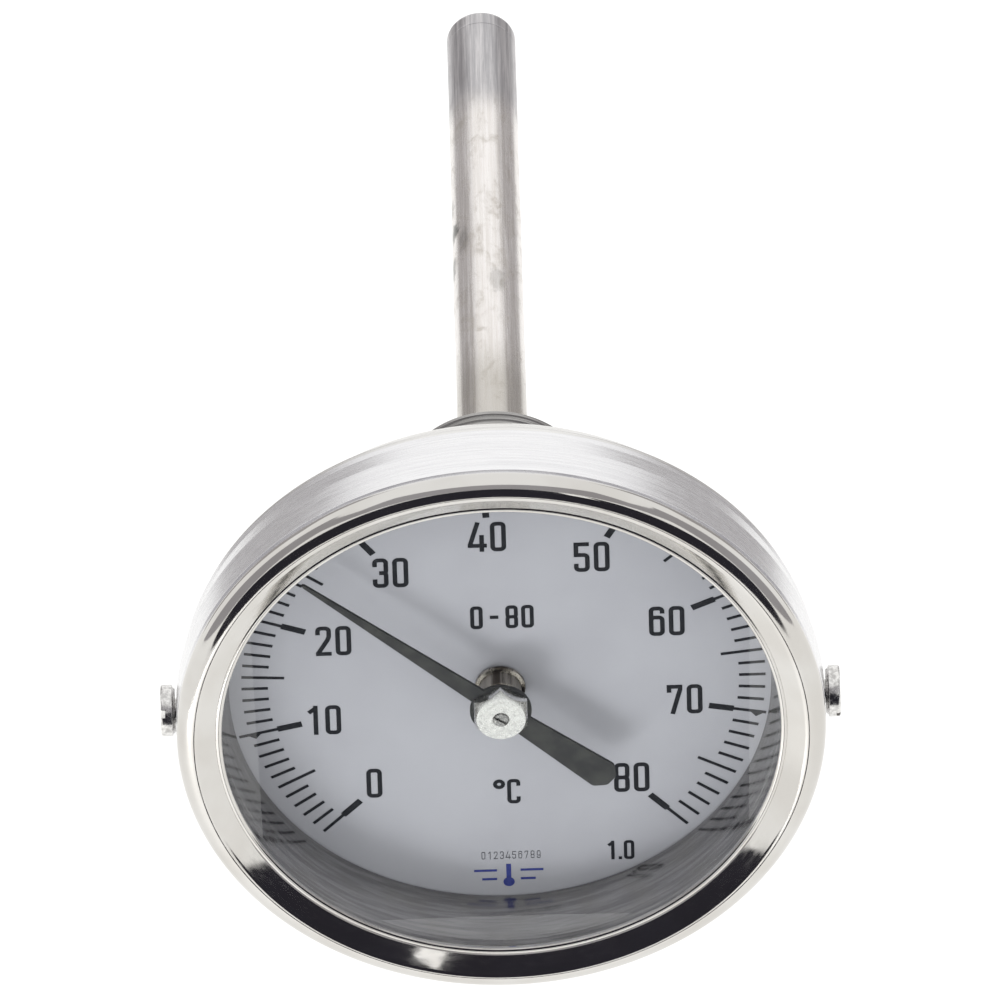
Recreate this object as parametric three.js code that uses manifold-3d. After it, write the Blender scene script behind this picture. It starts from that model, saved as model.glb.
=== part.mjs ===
// Dial thermometer with a bimetal coil in a rear stem, nominal case size 80.
// Millimetres, +Z up. The dial faces -Y and the stem points along +Y.
// Inside the inner group, y = 0 is the printed face of the dial plate; the whole group is
// then shifted so that the row origin lies on the stem axis, in the plane of the neck's end face.
import * as THREE from 'three';
import { mergeVertices } from 'three/addons/utils/BufferGeometryUtils.js';
import Module from 'manifold-3d';

const wasm = await Module();
wasm.setup();

// ---------------------------------------------------------------- driving dimensions
const SEG = 56;              // facets round the case
const SEG_S = 24;            // facets round small turned pieces
const GAP = 0.03;            // assembly gap between fixed neighbours

// bezel ring, slipped over the case
const BEZEL_R = 40.8;        // outside radius
const BEZEL_REAR = 0.4;      // rear edge of the skirt
const BEZEL_FRONT = -12.0;   // crest of the rolled bead
const LIP_R = 35.1;          // radius of the window opening
const SKIRT_T = 0.7;         // sheet thickness

// case cup
const CASE_R = 39.8;
const CASE_T = 0.8;
const CASE_RIM = -7.92;      // front rim
const STEP_Y = 0.84;         // ledge that carries the dial plate
const STEP_R = 36.5;         // inside radius behind the ledge
const BACK_Y = 9.0;          // outer face of the case back
const BACK_HOLE_R = 8.1;

// window stack
const GLASS_R = 39.6;
const GLASS_FRONT = -9.46;
const GLASS_BACK = -7.96;

// spacer ring between dial and window, flared towards the window
const WALL_R = 34.05;        // inside radius at the dial
const WALL_TOP_R = 36.2;     // inside radius at the window
const WALL_T = 0.5;

// dial
const DIAL_R = 38.2;
const DIAL_T = 0.8;

// pointer
const READING_DEG = -49.4;   // pointer angle at rest, clockwise from the top
const SHAFT_R = 1.0;
const TIP_R = 32.2;
const TAIL_R = 18.3;
const BLADE_FRONT = -5.4;
const BLADE_BACK = -4.9;
const HUB_R = 3.9;
const BUSH_R = 2.75;
const NUT_AF = 6.7;
const NUT_FRONT = -7.15;
const SHAFT_FRONT = -7.4;

// neck and stem
const NECK_R = 12.15;
const NECK_END = 40.4;
const STEM_R = 4.5;
const STEM_BORE = 3.9;
const STEM_FRONT = 3.6;
const STEM_TIP = 136.4;
const PLUG_Y = 133.4;

// screws that hold the bezel ring
const SCREW_Y = -3.9;
const SCREW_HEAD_R = 3.27;
const SCREW_HEAD_X = 42.75;

// ---------------------------------------------------------------- materials
const mat = (hex, rough, metal, extra = {}) =>
  new THREE.MeshStandardMaterial({ color: hex, roughness: rough, metalness: metal, ...extra });
const M = {
  polished: () => mat(0xdedbd3, 0.08, 1.0),
  brushed: () => mat(0xc9c8cb, 0.32, 1.0),
  steel: () => mat(0xa9a49c, 0.4, 1.0),
  glass: () => mat(0xf4f8f8, 0.02, 0.0, { transparent: true, opacity: 0.2 }),
  rubber: () => mat(0x1b1c1e, 0.8, 0.0),
  dial: () => mat(0xb2b4bb, 0.55, 0.0),
  black: () => mat(0x2a2b29, 0.6, 0.0),
  nickel: () => mat(0xe6e4de, 0.2, 1.0),
  brass: () => mat(0x8f7f66, 0.3, 1.0),
  bimetal: () => mat(0x9b8f82, 0.35, 1.0),
};

// ---------------------------------------------------------------- helpers
// closed, outward-facing geometry with shared vertices and no slivers
function clean(geo) {
  let g = geo.clone();
  g.deleteAttribute('normal');
  g.deleteAttribute('uv');
  g = mergeVertices(g, 1e-5);
  const p = g.attributes.position;
  const idx = g.index ? Array.from(g.index.array) : [...Array(p.count).keys()];
  const out = [];
  let vol = 0;
  const a = new THREE.Vector3(), b = new THREE.Vector3(), c = new THREE.Vector3();
  for (let i = 0; i < idx.length; i += 3) {
    const [i0, i1, i2] = [idx[i], idx[i + 1], idx[i + 2]];
    if (i0 === i1 || i1 === i2 || i0 === i2) continue;
    out.push(i0, i1, i2);
    a.fromBufferAttribute(p, i0); b.fromBufferAttribute(p, i1); c.fromBufferAttribute(p, i2);
    vol += a.dot(b.clone().cross(c));
  }
  if (vol < 0) for (let i = 0; i < out.length; i += 3) { const t = out[i + 1]; out[i + 1] = out[i + 2]; out[i + 2] = t; }
  g.setIndex(out);
  return g;
}

function solid(geo) {
  const g = clean(geo);
  return new wasm.Manifold(new wasm.Mesh({
    numProp: 3,
    vertProperties: new Float32Array(g.attributes.position.array),
    triVerts: new Uint32Array(g.index.array),
  }));
}

function fromSolid(s) {
  const m = s.getMesh();
  const g = new THREE.BufferGeometry();
  const v = new Float32Array((m.vertProperties.length / m.numProp) * 3);
  for (let i = 0; i < v.length / 3; i++)
    for (let k = 0; k < 3; k++) v[3 * i + k] = m.vertProperties[i * m.numProp + k];
  g.setAttribute('position', new THREE.BufferAttribute(v, 3));
  g.setIndex(Array.from(m.triVerts));
  return g;
}

// profile: [radius, y] pairs; a ring profile closes on itself, an axial one starts and ends on r = 0
function lathe(profile, seg = SEG) {
  const pts = profile.map(([r, y]) => new THREE.Vector2(r, y));
  const first = profile[0], last = profile[profile.length - 1];
  if (!(first[0] === 0 && last[0] === 0)) pts.push(pts[0].clone());
  return clean(new THREE.LatheGeometry(pts, seg));
}

const tube = (r0, r1, y0, y1, seg = SEG) => lathe([[r0, y0], [r1, y0], [r1, y1], [r0, y1]], seg);
const rod = (r, y0, y1, seg = SEG_S) => lathe([[0, y0], [r, y0], [r, y1], [0, y1]], seg);
const discX = (r, x0, x1, y, seg = 24) => rod(r, x0, x1, seg).rotateZ(-Math.PI / 2).translate(0, y, 0);

// hexagonal prism along Y with a corner at +Z, both ends chamfered, bored through
function hexNut(af, y0, y1, bore, seg = SEG_S, face = af / 2 * 0.97, drop = 0.062 * af) {
  const rc = af / Math.sqrt(3);
  const hex = new THREE.CylinderGeometry(rc, rc, Math.abs(y1 - y0), 6).translate(0, (y0 + y1) / 2, 0);
  const ch = 0.1 * af;
  const cone = lathe([[0, y0], [face, y0], [rc + 0.05, y0 + drop], [rc + 0.05, y1 - ch * 0.62], [af / 2 * 0.97, y1], [0, y1]], 48);
  const hole = rod(bore, y0 - 1, y1 + 1, seg);
  return fromSolid(solid(hex).intersect(solid(cone)).subtract(solid(hole)));
}

const arc = (cx, cy, r, a0, a1, n) =>
  Array.from({ length: n + 1 }, (_, i) => {
    const a = THREE.MathUtils.degToRad(a0 + (a1 - a0) * i / n);
    return [cx + r * Math.cos(a), cy + r * Math.sin(a)];
  });

const root = new THREE.Group();
const part = new THREE.Group();
part.position.y = -NECK_END;
root.add(part);

function add(name, geo, material, parent = part) {
  const g = clean(geo);
  g.computeVertexNormals();
  const m = new THREE.Mesh(g, material);
  m.name = name;
  parent.add(m);
  return m;
}

// ---------------------------------------------------------------- bezel ring
{
  const ri = BEZEL_R - SKIRT_T;
  const prof = [
    [BEZEL_R, BEZEL_REAR], [BEZEL_R, -9.0], [BEZEL_R - 0.3, -9.25], [BEZEL_R - 0.1, -9.6],
    ...arc(38.7, -9.9, 2.1, 0, -90, 4),
    [38.15, -11.92], [35.95, -10.57], [35.35, -10.5], [LIP_R, -10.3],
    [LIP_R, -9.9], [36.5, -9.9], [GLASS_R + 0.1, -9.9], [ri, -9.5], [ri, BEZEL_REAR],
  ];
  let s = solid(lathe(prof));
  s = s.subtract(solid(discX(1.75, 38, 45, SCREW_Y))).subtract(solid(discX(1.75, -45, -38, SCREW_Y)));
  add('bezel_ring', fromSolid(s), M.polished());
}

// ---------------------------------------------------------------- case cup
{
  const R = CASE_R, T = CASE_T;
  const prof = [
    [R, CASE_RIM], [R, 1.0], [R - 0.25, 1.45], [R - 0.8, STEP_Y + T],
    [STEP_R + T, STEP_Y + T], [STEP_R + T - 0.3, 5.2], [STEP_R - 0.6, 7.2], [STEP_R - 1.9, 8.5], [STEP_R - 3.6, BACK_Y],
    [BACK_HOLE_R, BACK_Y], [BACK_HOLE_R, BACK_Y - T], [STEP_R - 3.9, BACK_Y - T], [STEP_R - 2.4, 7.7], [STEP_R - 1.4, 6.7],
    [STEP_R - 0.3, 5.0], [STEP_R, STEP_Y], [R - T, STEP_Y], [R - T, CASE_RIM],
  ];
  let s = solid(lathe(prof));
  s = s.subtract(solid(discX(1.7, 37, 45, SCREW_Y))).subtract(solid(discX(1.7, -45, -37, SCREW_Y)));
  add('case_cup', fromSolid(s), M.brushed());
}

// ---------------------------------------------------------------- window stack
add('window_glass', lathe([[0, GLASS_FRONT], [GLASS_R - 0.25, GLASS_FRONT], [GLASS_R, GLASS_FRONT + 0.25], [GLASS_R, GLASS_BACK - 0.25], [GLASS_R - 0.25, GLASS_BACK], [0, GLASS_BACK]]), M.glass());
add('window_gasket', tube(35.7, GLASS_R - 0.1, -9.87, -9.5), M.rubber());
add('spacer_ring', lathe([
  [WALL_TOP_R, GLASS_BACK + GAP], [38.85, GLASS_BACK + GAP], [38.85, GLASS_BACK + GAP + WALL_T], [WALL_TOP_R + WALL_T * 0.9, GLASS_BACK + GAP + WALL_T],
  [WALL_R + WALL_T * 1.1, -GAP - WALL_T], [38.0, -GAP - WALL_T], [38.0, -GAP], [WALL_R, -GAP],
]), M.polished());
add('dial_plate', lathe([[1.7, 0], [DIAL_R, 0], [DIAL_R, DIAL_T], [1.7, DIAL_T]]), M.dial());

// ---------------------------------------------------------------- bezel screws and their threaded inserts
for (const [side, sx] of [['left', -1], ['right', 1]]) {
  const screw = lathe([
    [0, 36.2], [1.15, 36.2], [1.5, 36.55], [1.5, 40.98], [SCREW_HEAD_R, 40.98],
    [SCREW_HEAD_R, SCREW_HEAD_X - 0.3], [SCREW_HEAD_R - 0.3, SCREW_HEAD_X], [0, SCREW_HEAD_X],
  ], SEG_S);
  const slot = new THREE.BoxGeometry(8, 1.0, 0.8).rotateY(THREE.MathUtils.degToRad(30)).translate(0, SCREW_HEAD_X - 0.4, 0);
  const g = fromSolid(solid(screw).subtract(solid(slot)));
  g.rotateZ(-sx * Math.PI / 2).translate(0, SCREW_Y, 0);
  add(`bezel_screw_${side}`, g, M.nickel());
  const ins = tube(1.57, 2.9, 36.5, 38.75, 24);
  ins.rotateZ(-sx * Math.PI / 2).translate(0, SCREW_Y, 0);
  add(`screw_insert_${side}`, ins, M.brass());
}

// ---------------------------------------------------------------- neck, clamped through the case back
add('neck_body', lathe([
  [4.62, 3.6], [7.5, 3.6], [7.95, 4.05], [7.95, 9.68], [11.75, 9.68], [NECK_R, 10.08],
  [NECK_R, 36.2], [NECK_R - 0.35, 36.45], [NECK_R - 0.35, 36.95], [NECK_R, 37.2],
  [NECK_R, NECK_END - 0.5], [NECK_R - 0.5, NECK_END], [8.0, NECK_END],
  [8.0, 16.0], [4.62, 16.0],
], 40), M.steel());
add('neck_end_bush', tube(4.56, 7.95, 33.4, NECK_END - 0.5, 40), M.steel());
add('neck_seal', tube(8.15, 11.6, BACK_Y + GAP, 9.65, 40), M.rubber());
add('neck_lock_washer', tube(8.15, 12.2, 7.55, BACK_Y - CASE_T - GAP, 40), M.nickel());
add('neck_nut', hexNut(21, 4.5, 7.5, 8.02, 40), M.brass());

// ---------------------------------------------------------------- stem and what it holds
add('stem_tube', tube(STEM_BORE, STEM_R, STEM_FRONT, PLUG_Y, 32), M.steel());
add('stem_end_plug', lathe([
  [0, 130.8], [STEM_BORE - GAP, 130.8], [STEM_BORE - GAP, PLUG_Y + GAP], [STEM_R, PLUG_Y + GAP],
  [STEM_R, STEM_TIP - 1.1], [STEM_R - 0.18, STEM_TIP - 0.55], [STEM_R - 0.55, STEM_TIP - 0.16], [STEM_R - 1.1, STEM_TIP], [0, STEM_TIP],
], 32), M.steel());
add('coil_anchor', lathe([[0, 126.9], [1.6, 126.9], [1.6, 128.6], [3.6, 128.6], [3.6, 130.75], [0, 130.75]], SEG_S), M.brass());
add('lower_bearing', tube(SHAFT_R + 0.07, STEM_BORE - GAP, 63.0, 66.0, 32), M.brass());
add('upper_bearing', lathe([
  [SHAFT_R + 0.07, 2.5], [5.6, 2.5], [5.6, 3.55], [STEM_BORE - GAP, 3.55], [STEM_BORE - GAP, 9.0], [SHAFT_R + 0.07, 9.0],
], 32), M.brass());

// bimetal coil between the anchor and the shaft's driver
{
  const y0 = 71.6, y1 = 126.2, r = 2.55, turns = 13;
  class Coil extends THREE.Curve {
    getPoint(t, target = new THREE.Vector3()) {
      const a = 2 * Math.PI * turns * t;
      return target.set(r * Math.sin(a), y0 + (y1 - y0) * t, r * Math.cos(a));
    }
  }
  const w = 0.8, h = 0.42;
  const sec = new THREE.Shape([new THREE.Vector2(-w, -h), new THREE.Vector2(w, -h), new THREE.Vector2(w, h), new THREE.Vector2(-w, h)]);
  add('bimetal_coil', new THREE.ExtrudeGeometry(sec, { steps: turns * 14, bevelEnabled: false, extrudePath: new Coil() }), M.bimetal());
}

// ---------------------------------------------------------------- pointer assembly, turned to its reading
{
  let shaft = solid(lathe([
    [0, SHAFT_FRONT], [SHAFT_R - 0.15, SHAFT_FRONT], [SHAFT_R, SHAFT_FRONT + 0.15], [SHAFT_R, 69.0], [0, 69.0],
  ], SEG_S));
  const slot = new THREE.BoxGeometry(3, 0.9, 0.35).rotateY(THREE.MathUtils.degToRad(35)).translate(0, SHAFT_FRONT, 0);
  add('pointer_shaft', fromSolid(shaft.subtract(solid(slot))), M.nickel());

  add('coil_driver', tube(SHAFT_R + GAP, 2.6, 67.0, 69.0, SEG_S), M.brass());
  add('pointer_bush', lathe([
    [SHAFT_R + GAP, -0.35], [BUSH_R - 0.35, -0.35], [BUSH_R, -0.7], [BUSH_R, BLADE_BACK + 0.35], [BUSH_R - 0.35, BLADE_BACK + GAP], [SHAFT_R + GAP, BLADE_BACK + GAP],
  ], SEG_S), M.brass());

  const shape = new THREE.Shape();
  const tipW = 0.22, rootW = 1.15, tailW = 2.15;
  const hubA = Math.asin(rootW / HUB_R), hubB = Math.asin(1.45 / HUB_R);
  shape.moveTo(-tipW, TIP_R - 0.4);
  shape.lineTo(-rootW, HUB_R * Math.cos(hubA));
  shape.absarc(0, 0, HUB_R, Math.PI / 2 + hubA, 1.5 * Math.PI - hubB, false);
  shape.lineTo(-tailW, -(TAIL_R - 1.2));
  shape.lineTo(-tailW + 1.2, -TAIL_R);
  shape.lineTo(tailW - 1.2, -TAIL_R);
  shape.lineTo(tailW, -(TAIL_R - 1.2));
  shape.lineTo(1.45, -HUB_R * Math.cos(hubB));
  shape.absarc(0, 0, HUB_R, -Math.PI / 2 + hubB, Math.PI / 2 - hubA, false);
  shape.lineTo(tipW, TIP_R - 0.4);
  shape.lineTo(0, TIP_R);
  const hole = new THREE.Path();
  hole.absarc(0, 0, SHAFT_R + 0.05, 0, 2 * Math.PI, true);
  shape.holes.push(hole);
  const blade = new THREE.ExtrudeGeometry(shape, { depth: BLADE_BACK - BLADE_FRONT, bevelEnabled: false, curveSegments: 16 });
  // shape's y becomes +Z, its extrusion runs along -Y
  blade.rotateX(Math.PI / 2).translate(0, BLADE_BACK, 0);
  const m = add('pointer', blade, M.black());
  m.rotation.y = THREE.MathUtils.degToRad(READING_DEG);

  add('pointer_nut', hexNut(NUT_AF, NUT_FRONT, BLADE_FRONT - GAP, SHAFT_R + 0.05, SEG_S, 3.1, 1.25), M.nickel());
}

export default root;
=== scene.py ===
"""Dial thermometer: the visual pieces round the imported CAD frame.

Every piece is built in millimetres in the dial frame (dial face in the plane y = 0, +X right, +Z up,
viewer on the -Y side) and is then moved into the row frame, in metres."""

import math

import bmesh
import bpy
from mathutils import Matrix, Vector
from mathutils.geometry import delaunay_2d_cdt


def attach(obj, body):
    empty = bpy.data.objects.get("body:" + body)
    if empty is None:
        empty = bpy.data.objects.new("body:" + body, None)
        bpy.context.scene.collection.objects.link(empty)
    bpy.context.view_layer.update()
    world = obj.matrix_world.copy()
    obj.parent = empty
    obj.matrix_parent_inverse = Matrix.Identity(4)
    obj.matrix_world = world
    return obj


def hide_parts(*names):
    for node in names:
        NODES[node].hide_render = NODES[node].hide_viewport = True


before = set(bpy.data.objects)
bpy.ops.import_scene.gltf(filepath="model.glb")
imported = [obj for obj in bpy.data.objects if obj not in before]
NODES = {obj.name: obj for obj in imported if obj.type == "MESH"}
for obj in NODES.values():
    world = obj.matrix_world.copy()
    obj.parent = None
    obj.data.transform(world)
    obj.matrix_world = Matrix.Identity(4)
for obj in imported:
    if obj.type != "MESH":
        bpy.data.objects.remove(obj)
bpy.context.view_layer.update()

DIAL_Y = -40.4                       # dial face in the row frame, mm
TO_ROW = Matrix.Scale(0.001, 4) @ Matrix.Translation((0, DIAL_Y, 0))
rad = math.radians
sin, cos, pi = math.sin, math.cos, math.pi


# ------------------------------------------------------------------------------------------------ camera
def make_camera():
    e, roll = rad(37.98), rad(-1.71)
    dist, tx, ty, f_px = 2373.17, -0.01, -22.84, 18835.19
    back = Vector((0, -cos(e), sin(e)))
    fw = -back
    r = fw.cross(Vector((0, 0, 1))).normalized()
    u = r.cross(fw)
    r2, u2 = cos(roll) * r + sin(roll) * u, -sin(roll) * r + cos(roll) * u
    c = -(tx * r2 + ty * u2 + dist * fw)
    m = Matrix.Identity(4)
    for i in range(3):
        m[i][0], m[i][1], m[i][2] = r2[i], u2[i], -fw[i]
    m[0][3], m[1][3], m[2][3] = c.x * 0.001, (c.y + DIAL_Y) * 0.001, c.z * 0.001
    cam = bpy.data.cameras.new("camera")
    cam.sensor_width = 36.0
    cam.lens = f_px * 36.0 / 1000.0
    cam.clip_start, cam.clip_end = 0.05, 60.0
    ob = bpy.data.objects.new("camera", cam)
    bpy.context.scene.collection.objects.link(ob)
    ob.matrix_world = m
    bpy.context.scene.camera = ob


make_camera()


# ------------------------------------------------------------------------------------------------ mesh helpers
def link(name, bm):
    me = bpy.data.meshes.new(name)
    bm.to_mesh(me)
    bm.free()
    ob = bpy.data.objects.new(name, me)
    bpy.context.scene.collection.objects.link(ob)
    return ob


def fillet(points, n=4, closed=True):
    """Rounds the corners of a profile: each point is (a, b) or (a, b, radius)."""
    out, k = [], len(points)
    for i, p in enumerate(points):
        r = p[2] if len(p) > 2 else 0.0
        if r <= 0 or (not closed and i in (0, k - 1)):
            out.append((p[0], p[1]))
            continue
        P = Vector(p[:2])
        A, B = Vector(points[i - 1][:2]), Vector(points[(i + 1) % k][:2])
        u, v = A - P, B - P
        lu, lv = u.length, v.length
        u.normalize(); v.normalize()
        half = math.acos(max(-1, min(1, u.dot(v)))) / 2
        if half > 1.55:
            out.append((p[0], p[1]))
            continue
        t = min(r / math.tan(half), 0.48 * lu, 0.48 * lv)
        rr = t * math.tan(half)
        c = P + (u + v).normalized() * (rr / sin(half))
        s, e = P + u * t - c, P + v * t - c
        a0, a1 = math.atan2(s.y, s.x), math.atan2(e.y, e.x)
        d = (a1 - a0 + pi) % (2 * pi) - pi
        for j in range(n + 1):
            a = a0 + d * j / n
            out.append((c.x + rr * cos(a), c.y + rr * sin(a)))
    return out


def arc(cx, cy, r, a0, a1, n):
    return [(cx + r * cos(rad(a0 + (a1 - a0) * i / n)), cy + r * sin(rad(a0 + (a1 - a0) * i / n))) for i in range(n + 1)]


def lathe(name, prof, segs=192, wobble=None):
    """A closed profile of (radius, y) turned about the Y axis."""
    bm = bmesh.new()
    rings = []
    for r, y in prof:
        if r < 1e-6:
            rings.append([bm.verts.new((0, y, 0))])
        else:
            ring = []
            for s in range(segs):
                a = 2 * pi * s / segs
                rr = r + (wobble(a, r, y) if wobble else 0.0)
                ring.append(bm.verts.new((rr * sin(a), y, rr * cos(a))))
            rings.append(ring)
    for i in range(len(rings)):
        A, B = rings[i], rings[(i + 1) % len(rings)]
        if len(A) == 1 and len(B) == 1:
            continue
        for s in range(segs):
            t = (s + 1) % segs
            if len(A) == 1:
                bm.faces.new((A[0], B[s], B[t]))
            elif len(B) == 1:
                bm.faces.new((A[s], B[0], A[t]))
            else:
                bm.faces.new((A[s], B[s], B[t], A[t]))
    bmesh.ops.recalc_face_normals(bm, faces=bm.faces)
    return link(name, bm)


def prism(name, outline, y0, y1):
    """A closed outline of (x, z) points as a plate from y0 to y1."""
    bm = bmesh.new()
    a = [bm.verts.new((x, y0, z)) for x, z in outline]
    b = [bm.verts.new((x, y1, z)) for x, z in outline]
    bm.faces.new(a)
    bm.faces.new(b[::-1])
    for i in range(len(a)):
        j = (i + 1) % len(a)
        bm.faces.new((a[i], b[i], b[j], a[j]))
    bmesh.ops.recalc_face_normals(bm, faces=bm.faces)
    return link(name, bm)


def apply(ob):
    bpy.context.view_layer.update()
    dg = bpy.context.evaluated_depsgraph_get()
    me = bpy.data.meshes.new_from_object(ob.evaluated_get(dg))
    ob.modifiers.clear()
    old, ob.data = ob.data, me
    bpy.data.meshes.remove(old)


def cut(ob, tool, op="DIFFERENCE"):
    m = ob.modifiers.new("b", "BOOLEAN")
    m.operation, m.solver, m.object = op, "EXACT", tool
    apply(ob)
    bpy.data.objects.remove(tool)
    return ob


def bevel(ob, width, segments=2, angle=35):
    m = ob.modifiers.new("v", "BEVEL")
    m.width, m.segments, m.limit_method, m.angle_limit = width, segments, "ANGLE", rad(angle)
    m.use_clamp_overlap = True
    apply(ob)
    return ob


def settle(ob, mat, body, node=(), sharp=32, extra=Matrix.Identity(4)):
    """Moves a piece from the dial frame to the row frame, sets its shading, material and body."""
    bm = bmesh.new()
    bm.from_mesh(ob.data)
    bmesh.ops.remove_doubles(bm, verts=bm.verts, dist=1e-5)
    bm.transform(TO_ROW @ extra)
    bmesh.ops.recalc_face_normals(bm, faces=bm.faces)
    for f in bm.faces:
        f.smooth = True
    for e in bm.edges:
        e.smooth = len(e.link_faces) == 2 and e.calc_face_angle(0) < rad(sharp)
    bm.to_mesh(ob.data)
    bm.free()
    w = ob.modifiers.new("w", "WEIGHTED_NORMAL")
    w.mode, w.weight, w.keep_sharp = "FACE_AREA", 50, True
    apply(ob)
    ob.data.materials.clear()
    ob.data.materials.append(mat)
    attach(ob, body)
    if node:
        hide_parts(*([node] if isinstance(node, str) else node))
    return ob


def discx(name, r, x0, x1, y, segs=48):
    """A round bar along X, as a cutting tool."""
    ob = lathe(name, [(0, x0), (r, x0), (r, x1), (0, x1)], segs)
    ob.data.transform(Matrix.Translation((0, y, 0)) @ Matrix.Rotation(rad(-90), 4, "Z"))
    return ob


def block(name, sx, sy, sz, m):
    bm = bmesh.new()
    bmesh.ops.create_cube(bm, size=1.0)
    bm.transform(m @ Matrix.Diagonal((sx, sy, sz, 1)))
    return link(name, bm)


# ------------------------------------------------------------------------------------------------ material helpers
class Mat:
    """A Principled material with a few short cuts for procedural nodes. Coordinates are dial-frame millimetres."""

    def __init__(self, name, base=(0.5, 0.5, 0.5), rough=0.5, metal=0.0, **sockets):
        self.mat = bpy.data.materials.new(name)
        self.mat.use_nodes = True
        self.nt = self.mat.node_tree
        self.nt.nodes.clear()
        self.out = self.nt.nodes.new("ShaderNodeOutputMaterial")
        self.p = self.nt.nodes.new("ShaderNodeBsdfPrincipled")
        self.nt.links.new(self.p.outputs[0], self.out.inputs[0])
        self.p.inputs["Base Color"].default_value = (*base, 1)
        self.p.inputs["Roughness"].default_value = rough
        self.p.inputs["Metallic"].default_value = metal
        for k, v in sockets.items():
            self.p.inputs[k.replace("_", " ")].default_value = v
        self.tc = self.nt.nodes.new("ShaderNodeTexCoord")
        self.mm = self.mapping(self.tc.outputs["Object"], (1000, 1000, 1000), (0, -DIAL_Y, 0))
        self._sep = None

    def mapping(self, src, scale=(1, 1, 1), loc=(0, 0, 0), rot=(0, 0, 0)):
        n = self.nt.nodes.new("ShaderNodeMapping")
        n.inputs["Scale"].default_value = scale
        n.inputs["Location"].default_value = loc
        n.inputs["Rotation"].default_value = rot
        self.nt.links.new(src, n.inputs["Vector"])
        return n.outputs[0]

    def put(self, value, socket):
        if isinstance(value, bpy.types.NodeSocket):
            self.nt.links.new(value, socket)
        elif isinstance(value, (tuple, list)) and len(value) == 3 and socket.type == "RGBA":
            socket.default_value = (*value, 1)
        else:
            socket.default_value = value

    def math(self, op, a, b=0.0, c=None, clamp=False):
        n = self.nt.nodes.new("ShaderNodeMath")
        n.operation, n.use_clamp = op, clamp
        self.put(a, n.inputs[0])
        self.put(b, n.inputs[1])
        if c is not None:
            self.put(c, n.inputs[2])
        return n.outputs[0]

    def sep(self):
        if self._sep is None:
            n = self.nt.nodes.new("ShaderNodeSeparateXYZ")
            self.nt.links.new(self.mm, n.inputs[0])
            self._sep = n.outputs
        return self._sep

    def radius(self):
        x, _, z = self.sep()
        return self.math("SQRT", self.math("ADD", self.math("MULTIPLY", x, x), self.math("MULTIPLY", z, z)))

    def combine(self, x, y, z):
        n = self.nt.nodes.new("ShaderNodeCombineXYZ")
        for v, s in zip((x, y, z), n.inputs):
            self.put(v, s)
        return n.outputs[0]

    def noise(self, vec=None, scale=1.0, detail=3.0, rough=0.55, stretch=None, distortion=0.0, off=0.0):
        vec = vec or self.mm
        if stretch or off:
            vec = self.mapping(vec, stretch or (1, 1, 1), (off, off * 0.7, off * 1.3))
        n = self.nt.nodes.new("ShaderNodeTexNoise")
        self.nt.links.new(vec, n.inputs["Vector"])
        n.inputs["Scale"].default_value = scale
        n.inputs["Detail"].default_value = detail
        n.inputs["Roughness"].default_value = rough
        n.inputs["Distortion"].default_value = distortion
        return n.outputs["Fac"]

    def ramp(self, v, a, b, lo=0.0, hi=1.0, smooth=True):
        n = self.nt.nodes.new("ShaderNodeMapRange")
        n.interpolation_type = "SMOOTHSTEP" if smooth else "LINEAR"
        self.put(v, n.inputs["Value"])
        n.inputs["From Min"].default_value, n.inputs["From Max"].default_value = a, b
        n.inputs["To Min"].default_value, n.inputs["To Max"].default_value = lo, hi
        return n.outputs[0]

    def band(self, v, a, b, soft):
        return self.math("MULTIPLY", self.ramp(v, a - soft, a + soft), self.ramp(v, b - soft, b + soft, 1.0, 0.0))

    def mix(self, fac, a, b, kind="MIX"):
        n = self.nt.nodes.new("ShaderNodeMix")
        n.data_type, n.blend_type = "RGBA", kind
        self.put(fac, n.inputs[0])
        self.put(a, n.inputs[6])
        self.put(b, n.inputs[7])
        return n.outputs[2]

    def colour(self, v):
        self.put(v, self.p.inputs["Base Color"])

    def rough(self, v):
        self.put(v, self.p.inputs["Roughness"])

    def bump(self, height, distance_um=10.0, strength=1.0):
        n = self.nt.nodes.new("ShaderNodeBump")
        n.inputs["Strength"].default_value = strength
        n.inputs["Distance"].default_value = distance_um * 1e-6
        self.nt.links.new(height, n.inputs["Height"])
        self.nt.links.new(n.outputs[0], self.p.inputs["Normal"])


def mat_polished():
    """Bezel: polished rolled bead and lip, and a finely brushed skirt."""
    m = Mat("polished_stainless", (0.72, 0.705, 0.68), 0.08, 1.0)
    x, y, z = m.sep()
    skirt = m.math("MULTIPLY", m.ramp(y, -9.7, -9.2), m.ramp(m.radius(), 39.3, 39.9))
    lines = m.noise(scale=1.0, stretch=(0.035, 5.5, 0.035), detail=5, rough=0.7)
    fine = m.noise(scale=1.0, stretch=(0.3, 16.0, 0.3), detail=3, rough=0.6, off=3.1)
    cloud = m.noise(scale=0.11, detail=3, rough=0.5, off=7.7)
    streak = m.math("ADD", m.math("MULTIPLY", lines, 0.6), m.math("MULTIPLY", fine, 0.4))
    tone = m.mix(m.ramp(cloud, 0.35, 0.65), (0.59, 0.57, 0.54), (0.64, 0.625, 0.60))
    dark = m.mix(m.ramp(streak, 0.36, 0.64), (0.73, 0.725, 0.735), (0.86, 0.855, 0.86))
    m.colour(m.mix(skirt, tone, dark))
    rub = m.noise(scale=1.0, stretch=(0.5, 2.5, 0.5), detail=4, off=11.0)
    m.rough(m.math("ADD", m.ramp(rub, 0.3, 0.7, 0.05, 0.11), m.math("MULTIPLY", skirt, m.ramp(streak, 0.35, 0.65, 0.14, 0.24))))
    m.bump(m.math("MULTIPLY", streak, m.ramp(skirt, 0, 1, 0.06, 1.0)), 9.0, 0.5)
    return m.mat


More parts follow.
